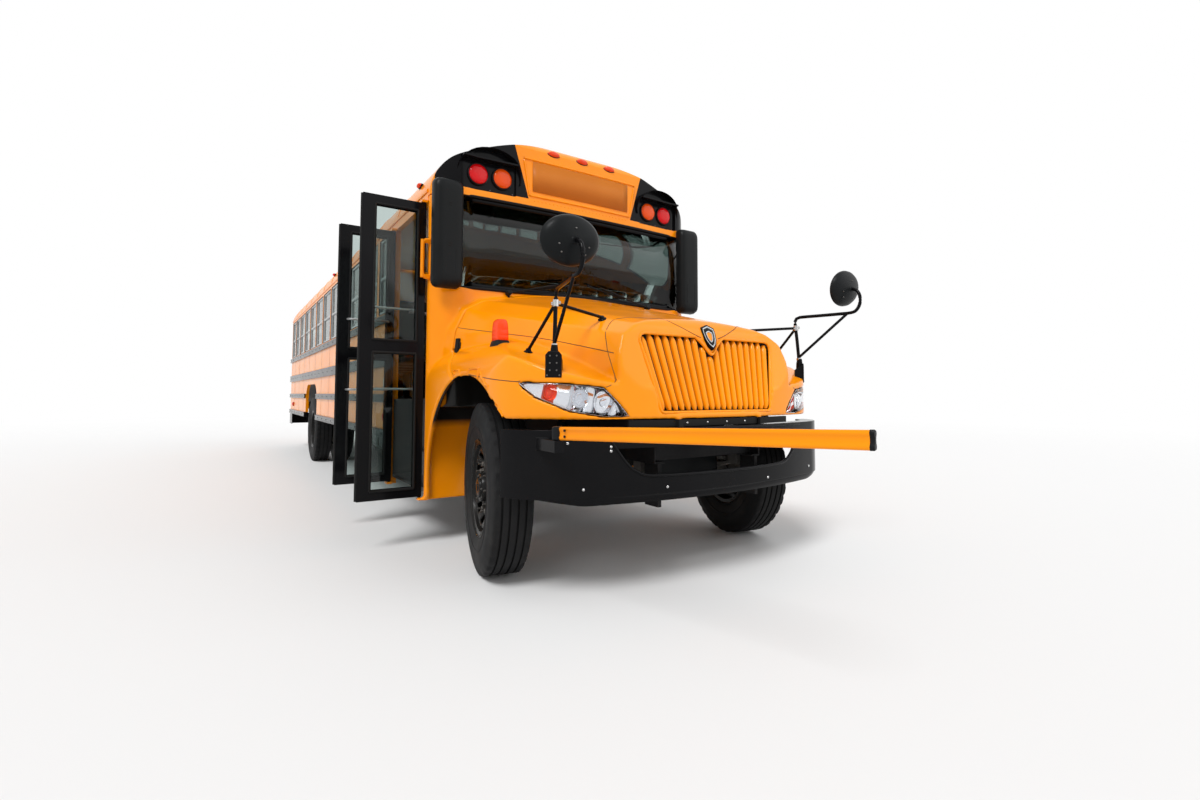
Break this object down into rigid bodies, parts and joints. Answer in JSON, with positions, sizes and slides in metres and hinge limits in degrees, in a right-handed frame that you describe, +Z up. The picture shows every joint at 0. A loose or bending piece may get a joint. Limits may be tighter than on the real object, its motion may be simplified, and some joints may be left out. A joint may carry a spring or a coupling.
{
  "type": "school bus",
  "caption": "Yellow bonneted school bus with split side windows, open outward-folding entrance leaves, tilting hood, stop arm, crossing arm and twin rear tyres.",
  "frame": {"origin": "on the ground, at the middle of the overall length, on the centre plane", "axes": "+X to the bus's front, +Y to its left (driver's) side, +Z up"},
  "size_m": [12.6578, 3.421, 3.155],
  "materials": {
    "body_yellow": "gloss",
    "black_paint": "gloss",
    "chassis_black": "satin",
    "black_plastic": "satin",
    "sash_metal": "brushed",
    "clear_glass": "clear",
    "lamp_clear": "clear",
    "lamp_red": "clear",
    "lamp_amber": "clear",
    "tyre_rubber": "matte",
    "flap_rubber": "matte",
    "seat_vinyl": "satin",
    "steel": "satin",
    "cast_metal": "matte",
    "floor_skin": "matte",
    "arm_yellow": "satin",
    "stop_red": "gloss",
    "wheel_black": "gloss"
  },
  "bodies": {
    "bus_body": {"chassis_frame": "chassis_black", "tow_eyes": "chassis_black", "leaf_springs": "cast_metal", "front_axle_beam": "cast_metal", "rear_axle": "cast_metal", "drive_shaft": "steel", "engine": "cast_metal", "radiator": "chassis_black", "fuel_tank": "black_paint", "battery_box": "black_paint", "exhaust_pipe": "steel", "mud_flaps": "flap_rubber", "front_bumper": "black_paint", "rear_bumper": "black_paint", "body_floor": "floor_skin", "left_wall": "body_yellow", "right_wall": "body_yellow", "rear_wall": "body_yellow", "roof": "body_yellow", "front_cap": "body_yellow", "cowl": "body_yellow", "windshield": "clear_glass", "window_sashes": "sash_metal", "window_glass": "clear_glass", "rub_rails": "black_paint", "roof_hatches": "body_yellow", "lamp_panels": "black_plastic", "red_lamps": "lamp_red", "amber_lamps": "lamp_amber", "side_mirrors": "black_plastic", "wipers": "black_plastic", "dashboard": "black_plastic", "seats": "seat_vinyl", "seat_frames": "chassis_black", "driver_seat": "seat_vinyl", "grab_rails": "body_yellow"},
    "hood_lid": {"hood": "body_yellow", "grille": "body_yellow", "head_lamps": "lamp_clear", "turn_lamps": "lamp_amber", "crossview_mirrors": "black_plastic"},
    "steering_wheel_body": {"steering_wheel": "black_plastic"},
    "entry_front": {"entry_leaf_front": "black_paint", "entry_glass_front": "clear_glass"},
    "entry_rear": {"entry_leaf_rear": "black_paint", "entry_glass_rear": "clear_glass"},
    "emergency_door": {"rear_door": "body_yellow", "rear_door_glass": "clear_glass"},
    "stop_sign_arm": {"stop_arm": "stop_red"},
    "crossing_arm_body": {"crossing_arm": "arm_yellow"},
    "knuckle_body_left": {"knuckle_left": "cast_metal"},
    "front_wheel_left": {"front_tyre_left": "tyre_rubber", "front_rim_left": "wheel_black"},
    "rear_wheels_left": {"rear_tyres_left": "tyre_rubber", "rear_rims_left": "wheel_black"},
    "knuckle_body_right": {"knuckle_right": "cast_metal"},
    "front_wheel_right": {"front_tyre_right": "tyre_rubber", "front_rim_right": "wheel_black"},
    "rear_wheels_right": {"rear_tyres_right": "tyre_rubber", "rear_rims_right": "wheel_black"}
  },
  "joints": [
    {"name": "steer_left", "type": "hinge", "parent": "bus_body", "child": "knuckle_body_left", "pos_m": [4.02, 0.905, 0.515], "axis": [0, 0, 1], "range_deg": [-28, 52]},
    {"name": "front_spin_left", "type": "hinge", "parent": "knuckle_body_left", "child": "front_wheel_left", "pos_m": [4.04474, 1.0214, 0.515], "axis": [0.2079, 0.9781, 0], "continuous": true},
    {"name": "rear_spin_left", "type": "hinge", "parent": "bus_body", "child": "rear_wheels_left", "pos_m": [-3.067, 0.912, 0.515], "axis": [0, 1, 0], "continuous": true},
    {"name": "steer_right", "type": "hinge", "parent": "bus_body", "child": "knuckle_body_right", "pos_m": [4.02, -0.905, 0.515], "axis": [0, 0, 1], "range_deg": [-28, 52]},
    {"name": "front_spin_right", "type": "hinge", "parent": "knuckle_body_right", "child": "front_wheel_right", "pos_m": [3.99526, -1.0214, 0.515], "axis": [0.2079, 0.9781, 0], "continuous": true},
    {"name": "rear_spin_right", "type": "hinge", "parent": "bus_body", "child": "rear_wheels_right", "pos_m": [-3.067, -0.912, 0.515], "axis": [0, 1, 0], "continuous": true},
    {"name": "steering_wheel_turn", "type": "hinge", "parent": "bus_body", "child": "steering_wheel_body", "pos_m": [2.78, 0.62, 1.735], "axis": [-0.4695, 0, 0.8829], "range_deg": [-560, 1040]},
    {"name": "hood_tilt", "type": "hinge", "parent": "bus_body", "child": "hood_lid", "pos_m": [4.915, 0, 0.926], "axis": [0, 1, 0], "range_deg": [0, 60]},
    {"name": "entry_front_swing", "type": "hinge", "parent": "bus_body", "child": "entry_front", "pos_m": [3.133, -1.24, 1.4], "axis": [0, 0, 1], "range_deg": [-90, 0]},
    {"name": "entry_rear_swing", "type": "hinge", "parent": "bus_body", "child": "entry_rear", "pos_m": [2.25, -1.24, 1.4], "axis": [0, 0, 1], "range_deg": [0, 90]},
    {"name": "emergency_door_swing", "type": "hinge", "parent": "bus_body", "child": "emergency_door", "pos_m": [-6.257, -0.505, 1.6], "axis": [0, 0, 1], "range_deg": [0, 110]},
    {"name": "stop_arm_swing", "type": "hinge", "parent": "bus_body", "child": "stop_sign_arm", "pos_m": [2.64, 1.262, 1.565], "axis": [0, 0, 1], "range_deg": [0, 90]},
    {"name": "crossing_arm_swing", "type": "hinge", "parent": "bus_body", "child": "crossing_arm_body", "pos_m": [4.9, -1.097, 0.896], "axis": [0, 0, 1], "range_deg": [-12.6, 67]}
  ],
  "couplings": [
    {"joint": "steer_right", "follows": "steer_left", "ratio": 1},
    {"joint": "steering_wheel_turn", "follows": "steer_left", "ratio": 20},
    {"joint": "entry_rear_swing", "follows": "entry_front_swing", "ratio": -1}
  ]
}
